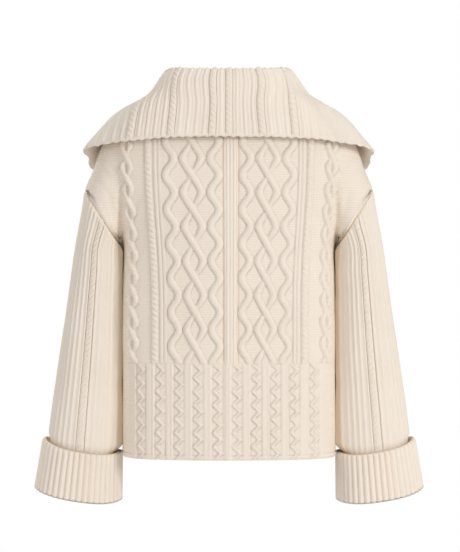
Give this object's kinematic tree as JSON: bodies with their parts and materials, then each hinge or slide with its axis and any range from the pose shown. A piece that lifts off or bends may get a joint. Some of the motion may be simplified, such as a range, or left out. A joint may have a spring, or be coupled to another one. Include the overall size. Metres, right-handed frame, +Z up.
{
  "type": "zip neck sweater",
  "caption": "Thick cream cable-knit sweater, worn form with no wearer: wide ribbed collar, drop shoulders, turned-back cuffs, deep hem band and a short zip at the neck.",
  "frame": {"origin": "middle of the neck, at the height where the shoulder line meets the neck, half way between back and front", "axes": "+Z up, +X to the wearer's left, +Y to the wearer's back, which is the side that the picture shows"},
  "size_m": [0.6384, 0.2792, 0.7116],
  "materials": {
    "cream_wool": "matt, thick soft wool knit",
    "zip_tape": "matt, woven",
    "zip_metal": "satin"
  },
  "bodies": {
    "garment": {"back": "cream_wool", "back_hem_band": "cream_wool", "collar": "cream_wool", "cuff_left": "cream_wool", "cuff_right": "cream_wool", "front": "cream_wool", "front_hem_band": "cream_wool", "sleeve_left": "cream_wool", "sleeve_right": "cream_wool", "zip_tape_left": "zip_tape", "zip_tape_right": "zip_tape", "zip_slider": "zip_metal"},
    "pull": {"zip_pull": "zip_metal"}
  },
  "joints": [
    {"name": "pull_swing", "type": "hinge", "parent": "garment", "child": "pull", "pos_m": [0, -0.12492, -0.162], "axis": [-1, 0, 0], "range_deg": [0, 150]}
  ]
}
